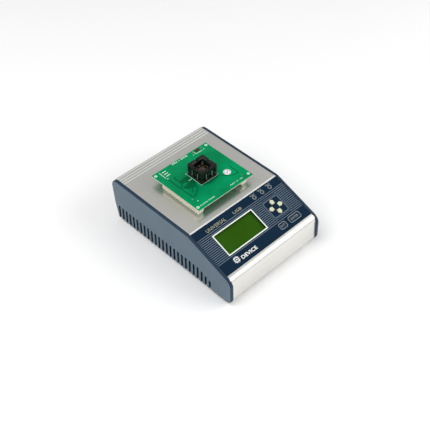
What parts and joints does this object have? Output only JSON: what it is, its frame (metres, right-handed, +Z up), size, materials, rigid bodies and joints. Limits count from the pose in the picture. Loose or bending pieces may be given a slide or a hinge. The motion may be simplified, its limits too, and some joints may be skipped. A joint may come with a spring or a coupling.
{
  "type": "universal device programmer",
  "caption": "Bench-top chip programmer: sloped membrane panel with display and keys, slotted end cheeks, and a plug-in board with a press-to-open test socket.",
  "frame": {"origin": "middle of the footprint, on the plane that the rubber feet stand on", "axes": "+X to the user's right, +Y to the rear, +Z up; the panel slopes down towards -Y"},
  "size_m": [0.207, 0.2853, 0.1247],
  "materials": {
    "cheek_plastic": "slate blue moulding with a darker navy rim",
    "brushed_aluminium": "fine brushed and anodised",
    "zinc_steel": "bright zinc plate",
    "rubber": "matt moulded rubber",
    "membrane": "navy polyester membrane with pale printed stripes",
    "bezel_white": "white frame",
    "display_green": "unlit green display glass",
    "key_cream": "cream key caps",
    "led_smoke": "smoked lens",
    "pcb_green": "green solder mask over glass fibre",
    "ivory_plastic": "ivory connector moulding",
    "receptacle_grey": "pale grey receptacle moulding",
    "socket_black": "black glass-filled moulding",
    "gold_contact": "gold-plated spring contacts",
    "label_white": "white paper label",
    "black_plastic": "black moulding",
    "ribbon_grey": "grey flat ribbon"
  },
  "bodies": {
    "case": {"base_plate": "zinc_steel", "driver_board": "pcb_green", "foot_1": "rubber", "foot_2": "rubber", "foot_3": "rubber", "foot_4": "rubber", "foot_screw_1": "zinc_steel", "foot_screw_2": "zinc_steel", "foot_screw_3": "zinc_steel", "foot_screw_4": "zinc_steel", "heat_sink": "brushed_aluminium", "keypad_board": "pcb_green", "lcd_bezel": "bezel_white", "lcd_board": "pcb_green", "lcd_glass": "display_green", "left_cheek": "cheek_plastic", "logic_chip": "black_plastic", "main_board": "pcb_green", "panel_overlay": "membrane", "panel_ribbon": "ribbon_grey", "power_jack": "black_plastic", "rear_panel": "brushed_aluminium", "receptacle_left": "receptacle_grey", "receptacle_right": "receptacle_grey", "right_cheek": "cheek_plastic", "rocker_housing": "black_plastic", "standoff_1": "zinc_steel", "standoff_2": "zinc_steel", "standoff_3": "zinc_steel", "standoff_4": "zinc_steel", "status_led_1": "led_smoke", "status_led_2": "led_smoke", "status_led_3": "led_smoke", "top_cover": "brushed_aluminium", "usb_port": "zinc_steel"},
    "adapter": {"adapter_board": "pcb_green", "adapter_chip": "black_plastic", "adapter_plug_left": "ivory_plastic", "adapter_plug_right": "ivory_plastic", "round_label": "label_white", "socket_base": "socket_black", "socket_seat": "socket_black", "socket_spring_1": "zinc_steel", "socket_spring_2": "zinc_steel", "socket_spring_3": "zinc_steel", "socket_spring_4": "zinc_steel"},
    "socket_cover": {"socket_cover": "socket_black"},
    "contact_row_right": {"contact_row_right": "gold_contact"},
    "contact_row_rear": {"contact_row_rear": "gold_contact"},
    "contact_row_left": {"contact_row_left": "gold_contact"},
    "contact_row_front": {"contact_row_front": "gold_contact"},
    "key_up": {"key_up": "key_cream"},
    "key_down": {"key_down": "key_cream"},
    "key_left": {"key_left": "key_cream"},
    "key_right": {"key_right": "key_cream"},
    "key_exit": {"key_exit": "membrane"},
    "key_enter": {"key_enter": "membrane"},
    "power_rocker": {"power_rocker": "black_plastic"}
  },
  "joints": [
    {"name": "adapter_lift", "type": "slide", "parent": "case", "child": "adapter", "axis": [0, 0, 1], "range_m": [0, 0.025]},
    {"name": "socket_press", "type": "slide", "parent": "adapter", "child": "socket_cover", "axis": [0, 0, -1], "range_m": [0, 0.0035], "stiffness_N_per_m": 1500, "springref_m": -0.0015, "deforming": ["socket_spring_1", "socket_spring_2", "socket_spring_3", "socket_spring_4"]},
    {"name": "contact_right_open", "type": "hinge", "parent": "adapter", "child": "contact_row_right", "pos_m": [0.0122, 0.0308, 0.105], "axis": [0, 1, 0], "range_deg": [0, 7.5]},
    {"name": "contact_rear_open", "type": "hinge", "parent": "adapter", "child": "contact_row_rear", "pos_m": [0.001, 0.042, 0.105], "axis": [-1, 0, 0], "range_deg": [0, 7.5]},
    {"name": "contact_left_open", "type": "hinge", "parent": "adapter", "child": "contact_row_left", "pos_m": [-0.0102, 0.0308, 0.105], "axis": [0, -1, 0], "range_deg": [0, 7.5]},
    {"name": "contact_front_open", "type": "hinge", "parent": "adapter", "child": "contact_row_front", "pos_m": [0.001, 0.0196, 0.105], "axis": [1, 0, 0], "range_deg": [0, 7.5]},
    {"name": "key_up_press", "type": "slide", "parent": "case", "child": "key_up", "axis": [0, 0.3432, -0.9393], "range_m": [0, 0.0005], "stiffness_N_per_m": 600, "springref_m": -0.0005},
    {"name": "key_down_press", "type": "slide", "parent": "case", "child": "key_down", "axis": [0, 0.3432, -0.9393], "range_m": [0, 0.0005], "stiffness_N_per_m": 600, "springref_m": -0.0005},
    {"name": "key_left_press", "type": "slide", "parent": "case", "child": "key_left", "axis": [0, 0.3432, -0.9393], "range_m": [0, 0.0005], "stiffness_N_per_m": 600, "springref_m": -0.0005},
    {"name": "key_right_press", "type": "slide", "parent": "case", "child": "key_right", "axis": [0, 0.3432, -0.9393], "range_m": [0, 0.0005], "stiffness_N_per_m": 600, "springref_m": -0.0005},
    {"name": "key_exit_press", "type": "slide", "parent": "case", "child": "key_exit", "axis": [0, 0.3432, -0.9393], "range_m": [0, 0.0005], "stiffness_N_per_m": 600, "springref_m": -0.0005},
    {"name": "key_enter_press", "type": "slide", "parent": "case", "child": "key_enter", "axis": [0, 0.3432, -0.9393], "range_m": [0, 0.0005], "stiffness_N_per_m": 600, "springref_m": -0.0005},
    {"name": "power_rock", "type": "hinge", "parent": "case", "child": "power_rocker", "pos_m": [-0.076, 0.1316, 0.03], "axis": [0, 0, 1], "range_deg": [0, 18]}
  ],
  "couplings": [
    {"joint": "contact_right_open", "follows": "socket_press", "rad_per_m": 34.907},
    {"joint": "contact_rear_open", "follows": "socket_press", "rad_per_m": 34.907},
    {"joint": "contact_left_open", "follows": "socket_press", "rad_per_m": 34.907},
    {"joint": "contact_front_open", "follows": "socket_press", "rad_per_m": 34.907}
  ]
}
